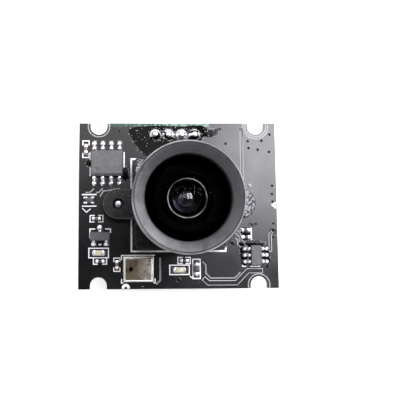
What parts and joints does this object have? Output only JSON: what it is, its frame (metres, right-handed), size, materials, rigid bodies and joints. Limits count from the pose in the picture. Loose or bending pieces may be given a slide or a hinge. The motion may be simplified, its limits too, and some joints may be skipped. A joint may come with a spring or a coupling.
{
  "type": "camera module",
  "caption": "Small board camera: black circuit board with corner screw notches and a wide-angle screw-in lens in a plastic holder.",
  "frame": {"origin": "centre of the circuit board's rear face, on the optical axis", "axes": "+Z along the optical axis towards the scene, +Y towards the connector edge, +X to the right when looking at the lens with the connector edge up"},
  "size_m": [0.03, 0.025, 0.0267],
  "materials": {
    "board_lacquer": "glossy black solder mask over glass-epoxy laminate",
    "white_ink": "matt white printed legend",
    "tinned_copper": "tinned pads and leads, satin",
    "bright_solder": "shiny solder with a rounded surface",
    "holder_plastic": "matt black moulded plastic with a fine grain",
    "steel_screw": "bright zinc-plated steel",
    "anodised_black": "satin black anodised metal",
    "flat_black": "flat black, anti-reflective",
    "coated_glass": "dark coated optical glass, polished",
    "filter_glass": "thin infrared-cut glass",
    "sensor_die": "image sensor package",
    "chip_epoxy": "matt dark grey moulding compound",
    "gold_can": "dull gold-plated metal can",
    "dark_ceramic": "dark grey ferrite or resistor coat",
    "tan_ceramic": "brown capacitor ceramic",
    "led_body": "white light-emitting diode body",
    "led_resin": "clear yellowish resin",
    "housing_nylon": "natural white nylon",
    "dry_flux": "dried glossy flux with white specks",
    "nickel_can": "plated metal lid"
  },
  "bodies": {
    "root": {"circuit_board": "board_lacquer", "covered_traces": "board_lacquer", "solder_pads": "tinned_copper", "silkscreen_print": "white_ink", "lens_holder": "holder_plastic", "holder_screws": "steel_screw", "infrared_filter": "filter_glass", "image_sensor": "sensor_die", "sensor_cover_glass": "filter_glass", "lens_barrel": "anodised_black", "front_retaining_ring": "anodised_black", "front_element": "coated_glass", "front_spacer": "flat_black", "second_element": "coated_glass", "aperture_stop": "flat_black", "rear_element": "coated_glass", "rear_retaining_ring": "flat_black", "memory_chip": "chip_epoxy", "memory_chip_leads": "tinned_copper", "regulator": "chip_epoxy", "regulator_leads": "tinned_copper", "power_switch": "chip_epoxy", "power_switch_leads": "tinned_copper", "microphone_base": "gold_can", "microphone_can": "gold_can", "usb_choke": "dark_ceramic", "usb_choke_terminals": "tinned_copper", "left_led_base": "led_body", "left_led_terminals": "bright_solder", "left_led_lens": "led_resin", "right_led_base": "led_body", "right_led_terminals": "bright_solder", "right_led_lens": "led_resin", "ferrite_bead": "dark_ceramic", "ferrite_bead_terminals": "bright_solder", "reset_capacitor": "tan_ceramic", "reset_capacitor_terminals": "bright_solder", "supply_capacitor": "tan_ceramic", "supply_capacitor_terminals": "bright_solder", "left_led_resistor": "dark_ceramic", "left_led_resistor_terminals": "bright_solder", "microphone_capacitor": "tan_ceramic", "microphone_capacitor_terminals": "bright_solder", "right_led_resistor": "dark_ceramic", "right_led_resistor_terminals": "bright_solder", "switch_resistors": "dark_ceramic", "switch_resistor_terminals": "bright_solder", "header_housing": "housing_nylon", "header_pins": "tinned_copper", "header_solder": "bright_solder", "flux_residue": "dry_flux", "controller_chip": "chip_epoxy", "controller_pads": "tinned_copper", "crystal_base": "tan_ceramic", "crystal_can": "nickel_can", "power_inductor": "dark_ceramic", "rear_capacitors": "tan_ceramic", "rear_capacitor_terminals": "bright_solder"}
  },
  "joints": []
}
